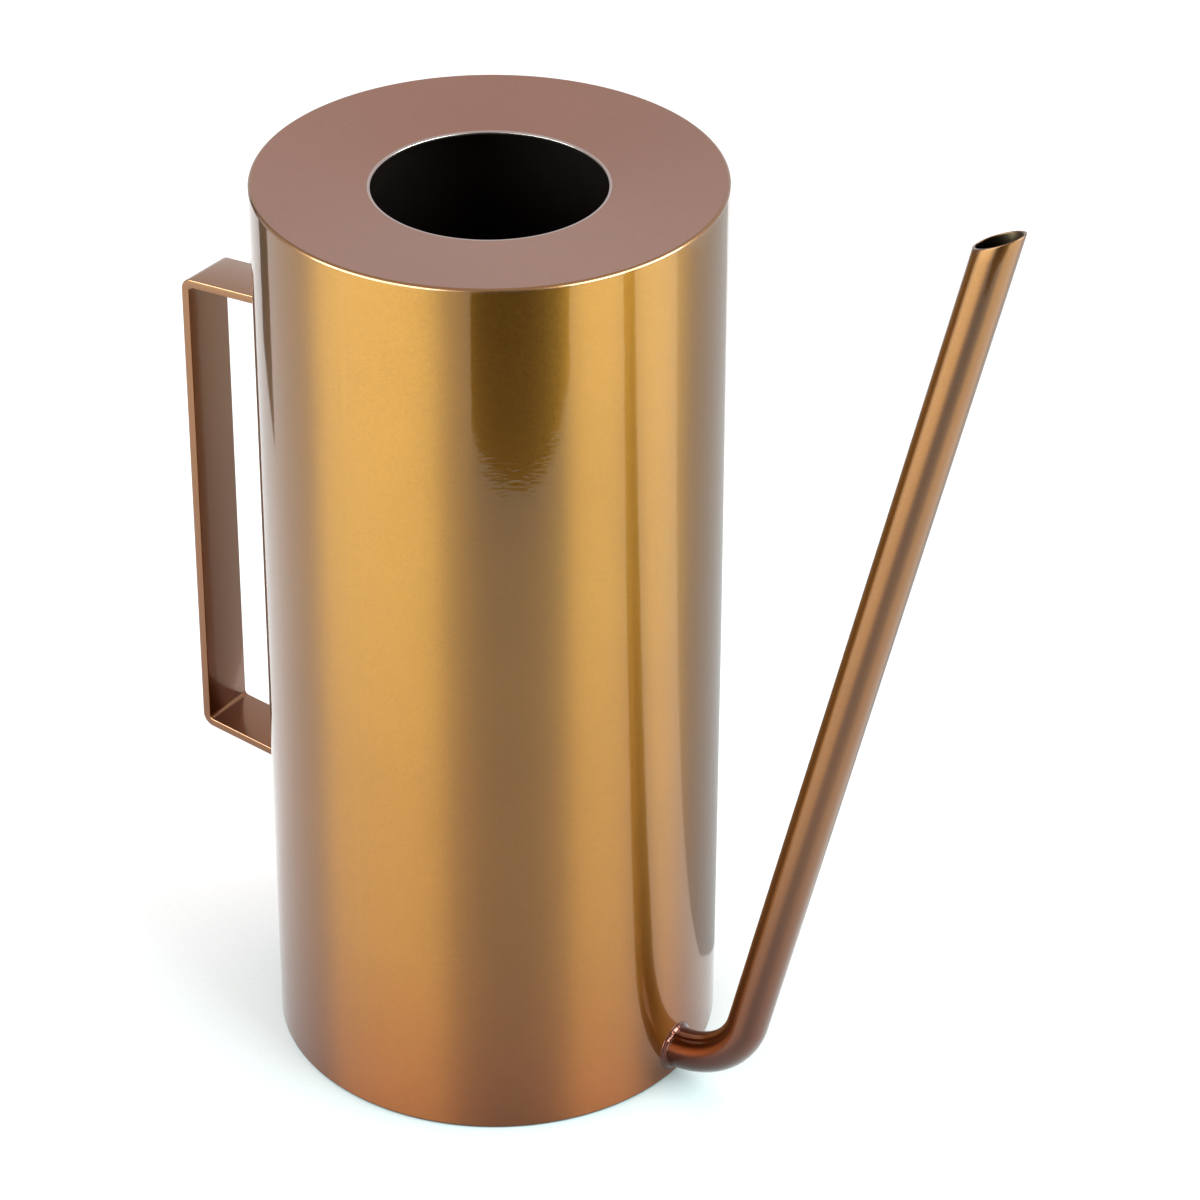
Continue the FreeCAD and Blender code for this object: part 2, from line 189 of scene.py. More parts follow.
rim_centre = (INNER_RADIUS, rim_low.z)
rim_profile = [rim_centre] + arc(rim_centre, CORNER, 0, 90, ROUND_STEPS)
can_rim = turned("can_rim", rim_profile, ROUND)
foot_centre = (INNER_RADIUS, CORNER)
foot_profile = arc(foot_centre, CORNER, -90, 0, ROUND_STEPS) + [foot_centre]
can_foot = turned("can_foot", foot_profile, ROUND)

# %% [markdown]
# ## The top and base plates
# Both are pressed from the same sheet. The top dips towards a round mouth, so that splashes run
# back in, and its outer edge turns down inside the wall. The base is a disc held just off the
# table by a short skirt. Each could be a flat disc with a bevel, but a profile with small rounds
# at its bends, turned once, also gives the sheet its thickness.

# %% The top plate
MOUTH_RADIUS = 27.25 * MM
DISH_DEPTH = 1.9 * MM
SHEET = 0.8 * MM
MOUTH_EDGE = 0.36 * MM
FLANGE_BEND = 1.0 * MM
BEND_STEPS = 8
DISH_START, DISH_STEPS = 0.02 * MM, 24
UNDER_START, UNDER_STEPS = 0.2 * MM, 12
top_z = CAN_HEIGHT
dip_z = CAN_HEIGHT - DISH_DEPTH
flange_in = INNER_RADIUS - SHEET
slope = math.degrees(math.atan2(DISH_DEPTH, INNER_RADIUS - MOUTH_RADIUS))
bend_centre = (flange_in - FLANGE_BEND, top_z - SHEET - FLANGE_BEND)
top_profile = (
    arc((MOUTH_RADIUS + MOUTH_EDGE, dip_z - SHEET + MOUTH_EDGE), MOUTH_EDGE, 270, 180, BEND_STEPS)
    + arc((MOUTH_RADIUS + MOUTH_EDGE, dip_z - MOUTH_EDGE), MOUTH_EDGE, 180, 90 + slope,
          BEND_STEPS)
    + run((MOUTH_RADIUS + 2 * MOUTH_EDGE, dip_z + DISH_START), (INNER_RADIUS, top_z),
          DISH_STEPS)
    + [(INNER_RADIUS, top_z), (INNER_RADIUS, plate_low.z), (flange_in, plate_low.z)]
    + arc(bend_centre, FLANGE_BEND, 0, 90, BEND_STEPS)
    + run((bend_centre[0] - UNDER_START, bend_centre[1] + FLANGE_BEND),
          (MOUTH_RADIUS + MOUTH_EDGE, dip_z - SHEET), UNDER_STEPS)[:-1]
)
can_top = turned("can_top", top_profile[::-1], ROUND)

# %% The base plate
BASE_RECESS = 1.4 * MM
SKIRT_BEND = 0.6 * MM
FOOT_CUT = 0.15 * MM
base_top = BASE_RECESS + SHEET
base_profile = (
    run((0.0, base_top), (INNER_RADIUS - SKIRT_BEND, base_top), UNDER_STEPS)
    + arc((INNER_RADIUS - SKIRT_BEND, base_top - SKIRT_BEND), SKIRT_BEND, 90, 0,
          BEND_STEPS)
    + [(INNER_RADIUS, FOOT_CUT), (INNER_RADIUS - FOOT_CUT, 0.0), (flange_in + FOOT_CUT, 0.0),
       (flange_in, FOOT_CUT)]
    + run((flange_in, BASE_RECESS), (0.0, BASE_RECESS), UNDER_STEPS)
    + [(0.0, BASE_RECESS)]
)
POLE_JOIN = 0.0001 * MM
can_base = turned("can_base", base_profile[::-1], ROUND, join_close=POLE_JOIN)

# %% [markdown]
# ## The spout and the handle
# Both are stock bent in one plane, the XZ plane: a thin tube with one bend, and a flat strap with
# two. A path with its corners rounded is the centre line, and a section set square to it at each
# step gives the surface. Carrying the section by the path's own turning keeps it from twisting.

# %% A path with rounded corners
def rotated(arm, t):
    """The arm (x, z) turned by the angle t: (x cos t - z sin t, x sin t + z cos t)."""
    c, s = math.cos(t), math.sin(t)
    return np.array([c * arm[0] - s * arm[1], s * arm[0] + c * arm[1]])


def bent_path(corners, radii, spacing):
    """Points and headings along straight runs joined by arcs, in the XZ plane.

    At a corner where the path turns by the angle t, an arc of radius R leaves each straight run
    R tan(t/2) before the corner. The heading turns evenly along the arc.
    """
    corners = [np.array(c, float) for c in corners]
    points, headings = [], []
    start = corners[0]
    for k in range(1, len(corners)):
        along = corners[k] - corners[k - 1]
        heading = math.atan2(along[1], along[0])
        unit = along / np.linalg.norm(along)
        stop, turn = corners[k], 0.0
        if k < len(corners) - 1:
            onward = corners[k + 1] - corners[k]
            turn = math.atan2(onward[1], onward[0]) - heading
            turn = (turn + math.pi) % (2 * math.pi) - math.pi
            stop = corners[k] - unit * radii[k - 1] * math.tan(abs(turn) / 2)
        count = max(2, int(np.linalg.norm(stop - start) / spacing))
        for t in np.linspace(0, 1, count, endpoint=k == len(corners) - 1):
            points.append(start + (stop - start) * t)
            headings.append(heading)
        if turn:
            side = np.array([-unit[1], unit[0]]) * math.copysign(1, turn)
            centre = stop + side * radii[k - 1]
            steps = max(12, int(abs(turn) * radii[k - 1] / spacing * 4))
            arm = stop - centre
            for t in np.linspace(0, turn, steps, endpoint=False):
                points.append(centre + rotated(arm, t))
                headings.append(heading + t)
            start = centre + rotated(arm, turn)
    return np.array(points), np.array(headings)


def carried(points, headings, outward, across):
    """Sections carried along a path in the XZ plane, shape (steps, section points, 3).

    A section point (o, y) at a step with heading h lies at the step's point plus o times the
    normal (sin h, -cos h), and at y across the plane.
    """
    normal = np.stack([np.sin(headings), -np.cos(headings)], -1)
    x = points[:, None, 0] + normal[:, None, 0] * outward
    z = points[:, None, 1] + normal[:, None, 1] * outward
    y = np.broadcast_to(across, x.shape)
    return np.stack([x, y, z], -1)


# %% [markdown]
# ## The spout
# A drawn tube leaves the wall low down, bends up within a few centimetres and runs straight to a
# tip that is cut at a slant, higher on its outer side. A Curve with a bevel would give the tube,
# but not its bore or its slanted lip, so the rings of its outside, its lip and its bore are one
# grid, and the last rings lean gradually into the cut.

# %% The spout's tube
SPOUT_RADIUS = 5.1 * MM
SPOUT_BORE = 4.5 * MM
SPOUT_HEIGHT = 7.8 * MM
SPOUT_INSIDE = 1.8 * MM
BEND_RADIUS = 21.7 * MM
RISE = math.radians(76.1)
STRAIGHT = 238.2 * MM
TIP_SLANT = math.radians(24.0)
LEANING = 30 * MM
TUBE_SPACING = 4 * MM
TUBE_SIDES = 64
LIP_STEPS = 9
bend_reach = BEND_RADIUS * math.tan(RISE / 2)
knee = (WALL_RADIUS + bend_reach, SPOUT_HEIGHT)
tip = (knee[0] + (bend_reach + STRAIGHT) * math.cos(RISE),
       knee[1] + (bend_reach + STRAIGHT) * math.sin(RISE))
spout_path, spout_heading = bent_path(
    [(WALL_RADIUS - SPOUT_INSIDE, SPOUT_HEIGHT), knee, tip], [BEND_RADIUS], TUBE_SPACING)
beta = np.linspace(0, 2 * math.pi, TUBE_SIDES, endpoint=False)
walked = np.concatenate([[0], np.cumsum(np.linalg.norm(np.diff(spout_path, axis=0), axis=1))])
slanting = np.clip((walked - walked[-1] + LEANING) / LEANING, 0, 1) ** 2
tip_lean = math.cos(RISE - TIP_SLANT) / math.sin(RISE - TIP_SLANT)
heading_unit = np.stack([np.cos(spout_heading), np.sin(spout_heading)], -1)


def spout_shell(radius, back=0.0):
    """Rings of one radius along the spout's path, whose last ones lean into the slanted tip.

    A ring point at the angle b round the tube is pushed along the tube by radius cos b times
    the tip's lean, scaled from 0 to 1 over the last 30 mm, less back at the tip.
    """
    rings = carried(spout_path, spout_heading, radius * np.cos(beta), radius * np.sin(beta))
    push = slanting[:, None] * (radius * np.cos(beta) * tip_lean - back)
    rings[..., 0] += push * heading_unit[:, None, 0]
    rings[..., 2] += push * heading_unit[:, None, 1]
    return rings


half_wall = (SPOUT_RADIUS - SPOUT_BORE) / 2
mid_radius = SPOUT_BORE + half_wall
lip = [spout_shell(mid_radius + half_wall * math.cos(g), half_wall * (1 - math.sin(g)))[-1:]
       for g in np.linspace(0, math.pi, LIP_STEPS)[1:-1]]
outer_shell = spout_shell(SPOUT_RADIUS, half_wall)
inner_shell = spout_shell(SPOUT_BORE, half_wall)[::-1]
spout_grid = np.concatenate([outer_shell, *lip, inner_shell], 0)
spout = surface("spout", spout_grid.swapaxes(0, 1), True, True, flip=True)

# %% [markdown]
# ## The handle
# A flat strap with two bends, whose arms close in a little towards the grip. Three bevelled boxes
# would leave sharp corners, but carrying a rounded oblong along the bent path keeps the strap's
# thickness through both bends.

# %% The handle's strap
STRAP_HALF_WIDTH = 7.3 * MM
STRAP_HALF_THICK = 1.1 * MM
STRAP_EDGE = 0.28 * MM
ARM_SLOPE = math.radians(4.6)
ARM_TOP = 184.6 * MM
ARM_BOTTOM = 50.4 * MM
GRIP_X = strap_low.x + STRAP_HALF_THICK
STRAP_BEND = 2.1 * MM
STRAP_SPACING = 3 * MM
STRAP_SUNK = 0.65 * MM
strap_start = WALL_RADIUS - STRAP_SUNK
centre_drop = STRAP_HALF_THICK / math.cos(ARM_SLOPE)


def arm_centre(distance, upper):
    """Height of an arm's centre line: both arms close in by 4.6 degrees away from the wall."""
    fall = (distance - WALL_RADIUS) * math.tan(ARM_SLOPE)
    return ARM_TOP - fall - centre_drop if upper else ARM_BOTTOM + fall + centre_drop


strap_corners = [
    (-strap_start, arm_centre(strap_start, True)),
    (GRIP_X, arm_centre(-GRIP_X, True)),
    (GRIP_X, arm_centre(-GRIP_X, False)),
    (-strap_start, arm_centre(strap_start, False)),
]
strap_path, strap_heading = bent_path(strap_corners, [STRAP_BEND, STRAP_BEND],
                                      STRAP_SPACING)


def rounded_oblong(half_y, half_o, radius, steps):
    """Outward and sideways places round an oblong with rounded corners, one arc a corner."""
    centres = [(half_o - radius, half_y - radius), (-half_o + radius, half_y - radius),
               (-half_o + radius, -half_y + radius), (half_o - radius, -half_y + radius)]
    parts = [arc(c, radius, 90 * k, 90 * (k + 1), steps) for k, c in enumerate(centres)]
    return np.array([p for part in parts for p in part])


strap_section = rounded_oblong(STRAP_HALF_WIDTH, STRAP_HALF_THICK, STRAP_EDGE, steps=5)
strap_grid = carried(strap_path, strap_heading, strap_section[:, 0], strap_section[:, 1])
strap_ends = [(0, False), (len(strap_path) - 1, True)]
handle = surface("handle", strap_grid, False, True, caps=strap_ends)

# %% [markdown]
# ## The weld beads
# The spout and the strap are joined to the wall with small fillet welds, lacquered over with the
# rest. Such a bead is slightly hollow, with a thin ridge where it meets the wall and another where
# it meets the bar, and the torch leaves a shallow ripple round it. A torus would stand off the
# round wall, so the bead's section is set on the wall itself at every point of its ring.

# %% Beads round the spout and the handle's two ends
def wall_x(y):
    """How far the wall's outside is from the YZ plane at a distance y across."""
    return np.sqrt(WALL_RADIUS ** 2 - y ** 2)


# Places and sizes across a bead, as parts of the way from the wall to the bar.
RIDGE_PLACES = (0.12, 0.88)
RIDGE_WIDTH = 0.07
RIDGE_RISE = 0.09
HOLLOW = 0.10
RIPPLE = 0.03
BEAD_STEPS = 25
# How far a bead goes on inside the wall and inside the bar.
BURIED = 0.3 * MM
UNDER_BAR = 0.25 * MM


def fillet_bead(name, ring, outward, centre_z, side, leg, spread, ripple_pitch):
    """A fillet bead round a bar that leaves the wall.

    ring holds the bar's outline (y, z) and outward its unit normals. Across the bead the
    parameter t goes from 0 at the wall to 1 at the bar: the distance from the bar is
    spread (1 - t) and the height off the wall leg t. The middle is hollowed by sin(pi t), a thin
    ridge stands along each edge, and a shallow ripple goes round the ring.
    """
    t = np.linspace(0, 1, BEAD_STEPS)[None, :]
    steps = np.linalg.norm(np.diff(np.concatenate([ring, ring[:1]]), axis=0), axis=1)
    walked_ring = np.concatenate([[0], np.cumsum(steps)[:-1]])[:, None]
    ripples = round(steps.sum() / ripple_pitch)
    wave = 0.5 + 0.5 * np.sin(2 * math.pi * ripples * walked_ring / steps.sum())
    ridges = sum(np.exp(-((t - place) / RIDGE_WIDTH) ** 2) for place in RIDGE_PLACES)
    swell = (RIPPLE * wave - HOLLOW) * np.sin(math.pi * t) + RIDGE_RISE * ridges
    off_bar = np.clip(spread * (1 - t + swell), 0, spread)
    off_wall = np.clip(leg * (t + swell), 0, leg)
    sunk = np.array([[-UNDER_BAR, leg * 0.9], [-UNDER_BAR, -BURIED], [spread, -BURIED]])
    sunk = np.broadcast_to(sunk, (len(ring), 3, 2))
    off_bar = np.concatenate([off_bar, sunk[..., 0]], 1)
    off_wall = np.concatenate([off_wall, sunk[..., 1]], 1)
    y = ring[:, 0][:, None] + outward[:, 0][:, None] * off_bar
    z = centre_z + ring[:, 1][:, None] + outward[:, 1][:, None] * off_bar
    x = side * (wall_x(y) + off_wall)
    return surface(name, np.stack([x, y, z], -1), True, True, flip=True)


BEAD_LEG = 1.05 * MM
SPOUT_SPREAD, SPOUT_RIPPLE = 1.25 * MM, 1.0 * MM
STRAP_SPREAD, STRAP_RIPPLE = 1.1 * MM, 1.1 * MM
BEAD_SIDES = 144
spout_ring_angle = np.linspace(0, 2 * math.pi, BEAD_SIDES, endpoint=False)
circle = np.stack([np.cos(spout_ring_angle), np.sin(spout_ring_angle)], -1)
spout_weld = fillet_bead("spout_bead", circle * SPOUT_RADIUS, circle, SPOUT_HEIGHT, 1,
                         BEAD_LEG, SPOUT_SPREAD, SPOUT_RIPPLE)

WELD_CORNER = 1.0 * MM
RING_SPACING = 0.25 * MM
SAME_POINT = 1e-7
oblong = rounded_oblong(STRAP_HALF_WIDTH, STRAP_HALF_THICK, WELD_CORNER, steps=9)[:, ::-1]


def filled_ring(outline, spacing):
    """More points along an outline's straight runs, and the outward unit normal at each."""
    following = np.roll(outline, -1, 0)
    pieces = [run(p, q, max(1, int(np.linalg.norm(q - p) / spacing)))
              for p, q in zip(outline, following)]
    ring = np.array([p for piece in pieces for p in piece])
    ring = ring[np.linalg.norm(ring - np.roll(ring, 1, 0), axis=1) > SAME_POINT]
    tangent = np.roll(ring, -1, 0) - np.roll(ring, 1, 0)
    normal = np.stack([tangent[:, 1], -tangent[:, 0]], -1)
    normal /= np.linalg.norm(normal, axis=1)[:, None]
    outwards = np.sign((normal * ring).sum(1))[:, None]
    return ring, normal * outwards


strap_ring, strap_out = filled_ring(oblong, RING_SPACING)
handle_welds = []
for label, upper in (("handle_bead_upper", True), ("handle_bead_lower", False)):
    weld = fillet_bead(label, strap_ring, strap_out, arm_centre(WALL_RADIUS, upper), -1,
                       BEAD_LEG, STRAP_SPREAD, STRAP_RIPPLE)
    handle_welds.append(weld)

# %% [markdown]
# ## The finish
# All of the can has one finish: stainless steel with a fine rolled grain, sprayed with a clear
# lacquer that is tinted golden brown. The eye sees two layers. The metal below spreads light
# along one direction, across its grain, so lamps turn into soft golden bands. The lacquer on top
# mirrors the room sharply but weakly, through a slight orange peel left by spraying.
# Two shaders could be mixed for this, but one is enough: a rough, stretched metal with a smooth
# coat over it.

# %% Colours and nodes
def linear(hex_colour):
    """An sRGB hex colour as linear red, green, blue and alpha."""
    channels = [int(hex_colour[k:k + 2], 16) / 255 for k in (1, 3, 5)]
    return [c / 12.92 if c <= 0.04045 else ((c + 0.055) / 1.055) ** 2.4 for c in channels] + [1.0]


def empty_material(name):
    """A new material and its node tree, with no nodes in it yet."""
    material = bpy.data.materials.new(name)
    material.use_nodes = True
    material.node_tree.nodes.clear()
    return material, material.node_tree


def add_node(tree, kind, links=(), **settings):
    """Add a node, set its properties and its sockets' values, and make its links.

    A setting whose name is a property of the node is set there. Any other one is a socket's
    name, with _ for a space. links are pairs of (source socket, this node's socket name).
    """
    node = tree.nodes.new(kind)
    for key, value in settings.items():
        if hasattr(node, key):
            setattr(node, key, value)
        else:
            node.inputs[key.replace("_", " ")].default_value = value
    for source, socket in links:
        tree.links.new(source, node.inputs[socket])
    return node


# %% The lacquered steel
GRAIN_SIZE = 0.35 * MM
CLOUD_SIZE = 38 * MM
# This noise is far finer than shows, and only its average is seen: both roughnesses at once.
LINE_SIZE = 0.05 * MM
PEEL_WIDTH, PEEL_HEIGHT = 2.2 * MM, 0.8 * MM
WAVE_SIZE = 9 * MM


def lacquered_steel(name, base_hex, shaded_foot_hex, roughness, stretch, smooth, shade_height=150 * MM):
    """Rolled stainless steel under tinted lacquer.

    Painted shade makes it darker and redder towards the foot: the second colour, at the
    bottom, passes into base_hex at the height given last. Between its scratches the sheet is
    smoother: on the smaller part of it where a noise of 0.05 mm is low, the roughness is
    smooth instead. That keeps a soft mirror image inside the broad shine.
    stretch is how far the grain spreads light along the first UV direction. The grain itself is
    a fine noise, 0.35 mm across, which is as fine as shows from a metre away. The lacquer's
    orange peel follows the rolling: cells 0.8 mm high and 2.2 mm wide, over a wave of 9 mm.
    """
    material, tree = empty_material(name)
    place = add_node(tree, "ShaderNodeTexCoord").outputs["Object"]
    grain = add_node(tree, "ShaderNodeTexNoise", [(place, "Vector")],
                     Scale=1 / GRAIN_SIZE, Detail=2.0, Roughness=0.6)
    cloud = add_node(tree, "ShaderNodeTexNoise", [(place, "Vector")],
                     Scale=1 / CLOUD_SIZE, Detail=2.0, Roughness=0.5)
    height = add_node(tree, "ShaderNodeSeparateXYZ", [(place, "Vector")]).outputs["Z"]
    # Painted shade: the colour darkens and reddens from the height given last down to the foot.
    ramp_place = add_node(tree, "ShaderNodeMapRange", [(height, "Value")], From_Max=shade_height)
    foot_shade_ramp = add_node(tree, "ShaderNodeValToRGB", [(ramp_place.outputs["Result"], "Fac")])
    foot_shade_ramp.color_ramp.elements[0].color = linear(shaded_foot_hex)
    foot_shade_ramp.color_ramp.elements[1].color = linear(base_hex)
    # The painted shade fades quickly above the foot: 60% of the change is over by 35% of the way.
    early = foot_shade_ramp.color_ramp.elements.new(0.35)
    early.color = [0.4 * low + 0.6 * base
                   for low, base in zip(linear(shaded_foot_hex), linear(base_hex))]
    speck = add_node(tree, "ShaderNodeMapRange", [(grain.outputs["Fac"], "Value")],
                     From_Min=0.3, From_Max=0.7, To_Min=0.90, To_Max=1.08)
    shade = add_node(tree, "ShaderNodeMapRange", [(cloud.outputs["Fac"], "Value")],
                     From_Min=0.3, From_Max=0.7, To_Min=0.97, To_Max=1.03)
    both = add_node(tree, "ShaderNodeMath",
                    [(speck.outputs[0], 0), (shade.outputs[0], 1)], operation="MULTIPLY")
    colour = add_node(tree, "ShaderNodeVectorMath",
                      [(foot_shade_ramp.outputs["Color"], 0), (both.outputs[0], "Scale")],
                      operation="SCALE")
    lines = add_node(tree, "ShaderNodeTexNoise", [(place, "Vector")],
                     Scale=1 / LINE_SIZE, Detail=1.0, Roughness=0.5)
    rough = add_node(tree, "ShaderNodeMapRange", [(lines.outputs["Fac"], "Value")],
                     From_Min=0.40, From_Max=0.48, To_Min=smooth, To_Max=roughness)
    bump = add_node(tree, "ShaderNodeBump", [(grain.outputs["Fac"], "Height")],
                    Strength=0.35, Distance=0.012 * MM)
    flattened = add_node(tree, "ShaderNodeMapping", [(place, "Vector")],
                         Scale=(1 / PEEL_WIDTH, 1 / PEEL_WIDTH, 1 / PEEL_HEIGHT))
    cells = add_node(tree, "ShaderNodeTexNoise", [(flattened.outputs["Vector"], "Vector")],
                     Scale=1.0, Detail=1.0, Roughness=0.4)
    waves = add_node(tree, "ShaderNodeTexNoise", [(place, "Vector")],
                     Scale=1 / WAVE_SIZE, Detail=1.0, Roughness=0.4)
    peel_small = add_node(tree, "ShaderNodeBump", [(cells.outputs["Fac"], "Height")],
                          Strength=1.0, Distance=0.011 * MM)
    peel_long = add_node(tree, "ShaderNodeBump",
                         [(waves.outputs["Fac"], "Height"), (peel_small.outputs[0], "Normal")],
                         Strength=1.0, Distance=0.03 * MM)
    tangent = add_node(tree, "ShaderNodeTangent", direction_type="UV_MAP", uv_map="grain")
    shader = add_node(tree, "ShaderNodeBsdfPrincipled",
                      [(colour.outputs["Vector"], "Base Color"),
                       (rough.outputs["Result"], "Roughness"),
                       (bump.outputs["Normal"], "Normal"),
                       (peel_long.outputs["Normal"], "Coat Normal"),
                       (tangent.outputs["Tangent"], "Tangent")],
                      Metallic=1.0, Anisotropic=stretch, Coat_Weight=1.0,
                      Coat_Roughness=0.035, Coat_IOR=1.37)
    add_node(tree, "ShaderNodeOutputMaterial", [(shader.outputs["BSDF"], "Surface")])
    return material


# The second colour of each finish is its painted shade at the foot.
wall_finish = lacquered_steel("tinted lacquer on the rolled wall", "#865820", "#783D16",
                              roughness=0.44, stretch=0.93, smooth=0.08)
plate_finish = lacquered_steel("tinted lacquer on pressed plates", "#89553F", "#89553F",
                               roughness=0.45, stretch=0.2, smooth=0.40)
tube_finish = lacquered_steel("tinted lacquer on drawn tube", "#774B26", "#481606",
                              roughness=0.38, stretch=0.9, smooth=0.32, shade_height=250 * MM)
strap_finish = lacquered_steel("tinted lacquer on flat strap", "#885A38", "#6A3A24",
                               roughness=0.26, stretch=0.3, smooth=0.20)
# Its foot colour is far darker: painted shade, the thin dark line along the can's bottom corner.
edge_finish = lacquered_steel("tinted lacquer on ground corners", "#855A38", "#4E2A18",
                              roughness=0.30, stretch=0.0, smooth=0.24)
bead_finish = lacquered_steel("tinted lacquer on weld beads", "#6A3420", "#5A2618",
                              roughness=0.22, stretch=0.0, smooth=0.20)
# Painted highlight: the pale pinkish white on the mouth's rounded edge stands in for the light its
# small round catches.
mouth_highlight = lacquered_steel("painted highlight on the mouth's edge", "#A28E89", "#A28E89",
                               roughness=0.3, stretch=0.0, smooth=0.28)

# %% [markdown]
# ## Painted shade inside
# Seen through the mouth the inside is almost black, and the tube's bore is a dull grey brown.
# Painting black over the mouth would do for one view only, so the real inner faces get a dark
# steel, whose darkness is painted shade: the shade that falls deep inside the can and the spout.

# %% The painted shade inside
STAIN_SIZE = 14 * MM


def shaded_steel(name, dark_hex, light_hex, metallic, roughness):
    """Steel darkened with painted shade, for faces deep inside the can and the spout, with stains
    14 mm across.
    """
    material, tree = empty_material(name)
    place = add_node(tree, "ShaderNodeTexCoord").outputs["Object"]
    stain = add_node(tree, "ShaderNodeTexNoise", [(place, "Vector")],
                     Scale=1 / STAIN_SIZE, Detail=4.0, Roughness=0.6)
    colour = add_node(tree, "ShaderNodeValToRGB", [(stain.outputs["Fac"], "Fac")])
    colour.color_ramp.elements[0].color = linear(dark_hex)
    colour.color_ramp.elements[1].color = linear(light_hex)
    shader = add_node(tree, "ShaderNodeBsdfPrincipled", [(colour.outputs["Color"], "Base Color")],
                      Metallic=metallic, Roughness=roughness)
    add_node(tree, "ShaderNodeOutputMaterial", [(shader.outputs["BSDF"], "Surface")])
    return material


# Painted shade: the inside of the can is painted almost black.
inside_shade = shaded_steel("painted shade inside the can", "#140B08", "#2A1812",
                           metallic=0.6, roughness=0.5)
# The bore's dark grey brown is partly its drawn steel and partly painted shade inside the narrow
# tube.
bore_shade = shaded_steel("drawn steel in the spout's bore, with painted shade", "#3C322A", "#5A4632",
                         metallic=1.0, roughness=0.35)

# %% [markdown]
# ## Dressing the pieces
# Each piece stands for one solid of the frame and takes its place when the can is shown. All of
# them ride on the one body there is. The wall, the plates and the spout get a second finish on
# part of their faces, picked by where those faces are and which way they look.

# %% Finishes on their pieces
def dress(piece, finish, slot, *nodes):
    """Give a piece its finish and its place on the frame, and hide the CAD nodes it stands for."""
    piece.data.materials.append(finish)
    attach(piece, "root")
    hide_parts(*nodes)


def dress_part(piece, finish, is_there):
    """Give one more finish to the faces whose centres and normals pass a test."""
    piece.data.materials.append(finish)
    slot_number = len(piece.data.materials) - 1
    count = len(piece.data.polygons)
    centres = np.empty(count * 3, np.float32)
    normals = np.empty(count * 3, np.float32)
    piece.data.polygons.foreach_get("center", centres)
    piece.data.polygons.foreach_get("normal", normals)
    chosen = is_there(centres.reshape(-1, 3), normals.reshape(-1, 3))
    numbers = np.empty(count, np.int32)
    piece.data.polygons.foreach_get("material_index", numbers)
    numbers[chosen] = slot_number
    piece.data.polygons.foreach_set("material_index", numbers)


dress(can_wall, wall_finish, "lacquered_sheet", "body_wall")
dress(can_seam, wall_finish, "weld_bead", "seam_weld")
dress(can_rim, edge_finish, "weld_bead", "rim_weld")
dress(can_foot, edge_finish, "weld_bead", "base_weld")
dress(can_top, plate_finish, "lacquered_sheet", "top_plate")
dress(can_base, plate_finish, "lacquered_sheet", "base_plate")
dress(spout, tube_finish, "lacquered_tube", "spout_tube")
dress(spout_weld, bead_finish, "weld_bead", "spout_weld")
dress(handle, strap_finish, "lacquered_strap", "handle_strap")
dress(handle_welds[0], bead_finish, "weld_bead", "handle_weld_upper")
dress(handle_welds[1], bead_finish, "weld_bead", "handle_weld_lower")

inner_limit = WALL_RADIUS - 0.4 * MM
under_rim = top_z - 1.0 * MM
base_inside = base_top - 0.3 * MM
highlight_limit = MOUTH_RADIUS + 1.6 * MOUTH_EDGE
LOOKS_UP = 0.4
# The inner faces of the wall, seam and plates take the painted shade.
for piece in (can_wall, can_seam):
    dress_part(piece, inside_shade, lambda c, n: np.hypot(c[:, 0], c[:, 1]) < inner_limit)
dress_part(can_top, inside_shade, lambda c, n: (n[:, 2] < LOOKS_UP) & (c[:, 2] < under_rim))
dress_part(can_base, inside_shade, lambda c, n: (n[:, 2] > LOOKS_UP) & (c[:, 2] > base_inside))
# The top faces at the mouth's edge take the painted highlight.
dress_part(can_top, mouth_highlight,
           lambda c, n: (np.hypot(c[:, 0], c[:, 1]) < highlight_limit) & (n[:, 2] > LOOKS_UP))
bore_rows = len(outer_shell) + len(lip)


def in_bore(centres, normals):
    """Faces of the spout whose row, counted along the tube and back inside it, is in the bore."""
    rows = np.arange(len(centres)) % len(spout_grid)
    return rows >= bore_rows - 1


# The bore's faces take that painted shade.
dress_part(spout, bore_shade, in_bore)

# %% [markdown]
# ## Floor, light and camera
# The can stands on plain pale paper in a white room. The camera looks down on it from the front
# right, a little more than a metre away, so that the can narrows gently towards its foot.

# %% The floor
def white_paper():
    """Plain matt paper with a faint tooth of 1.1 mm, a pale grey that the lamps lift to white."""
    material, tree = empty_material("matt white paper")
    place = add_node(tree, "ShaderNodeTexCoord").outputs["Object"]
    tooth = add_node(tree, "ShaderNodeTexNoise", [(place, "Vector")], Scale=900.0, Detail=2.0)
    colour = add_node(tree, "ShaderNodeValToRGB", [(tooth.outputs["Fac"], "Fac")])
    colour.color_ramp.elements[0].color = linear("#9A9797")
    colour.color_ramp.elements[1].color = linear("#A09D9D")
    shader = add_node(tree, "ShaderNodeBsdfPrincipled", [(colour.outputs["Color"], "Base Color")],
                      Roughness=0.9, Specular_IOR_Level=0.2)
    add_node(tree, "ShaderNodeOutputMaterial", [(shader.outputs["BSDF"], "Surface")])
    return material


def flat_sheet(name, corners, material):
    """A sheet that isn't part of the can: two rows of corners, joined by four-sided faces."""
    half = len(corners) // 2
    mesh = bpy.data.meshes.new(name)
    mesh.from_pydata(corners, [], [(k, k + 1, half + k + 1, half + k) for k in range(half - 1)])
    sheet = bpy.data.objects.new(name, mesh)
    sheet.data.materials.append(material)
    bpy.context.scene.collection.objects.link(sheet)
    return sheet


FLOOR_HALF = 6.0
flat_sheet("floor", [(-FLOOR_HALF, -FLOOR_HALF, 0), (FLOOR_HALF, -FLOOR_HALF, 0),
                     (-FLOOR_HALF, FLOOR_HALF, 0), (FLOOR_HALF, FLOOR_HALF, 0)], white_paper())

